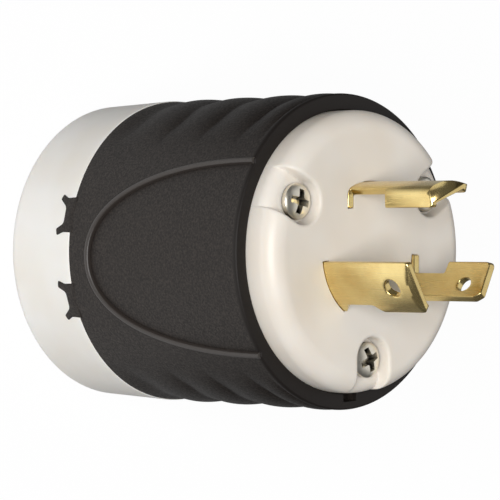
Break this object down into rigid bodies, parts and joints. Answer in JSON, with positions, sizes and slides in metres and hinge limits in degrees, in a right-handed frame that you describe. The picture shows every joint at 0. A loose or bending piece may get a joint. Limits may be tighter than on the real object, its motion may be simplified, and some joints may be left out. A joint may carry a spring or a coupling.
{
  "type": "locking power plug",
  "caption": "Round twist-lock power plug with three curved brass blades, a rounded front face, a ribbed grip sleeve with smooth panels and an open cord entry at the rear.",
  "frame": {"origin": "centre of the rear face, which the plug stands on", "axes": "+Z along the plug's axis towards the blade tips; the smooth panels face -Y and +Y, the ribbed grips face -X and +X, and the ground blade is on the -X side"},
  "size_m": [0.0538, 0.0536, 0.0811],
  "materials": {
    "housing_nylon": "moulded white nylon, satin",
    "grip_polymer": "fine stippled black thermoplastic, smooth front ring",
    "face_nylon": "moulded warm-white nylon, satin",
    "carrier_nylon": "moulded glass-filled nylon",
    "blade_brass": "stamped brass, brushed lengthwise",
    "plate_brass": "stamped or turned brass",
    "green_screw": "steel, green dyed plating",
    "nickel_screw": "nickel-plated steel, satin",
    "seal_rubber": "moulded neoprene",
    "jaw_nylon": "moulded black nylon"
  },
  "bodies": {
    "root": {"rear_housing": "housing_nylon", "grip_sleeve": "grip_polymer", "front_face": "face_nylon", "blade_carrier": "carrier_nylon", "ground_blade": "blade_brass", "line_blade": "blade_brass", "neutral_blade": "blade_brass", "ground_pressure_plate": "plate_brass", "line_pressure_plate": "plate_brass", "neutral_pressure_plate": "plate_brass", "ground_terminal_screw": "green_screw", "line_terminal_screw": "plate_brass", "neutral_terminal_screw": "nickel_screw", "assembly_screws": "nickel_screw", "assembly_inserts": "plate_brass", "cord_seal": "seal_rubber", "cord_jaw_left": "jaw_nylon", "cord_jaw_right": "jaw_nylon", "clamp_screws": "nickel_screw", "clamp_nuts": "nickel_screw"}
  },
  "joints": []
}
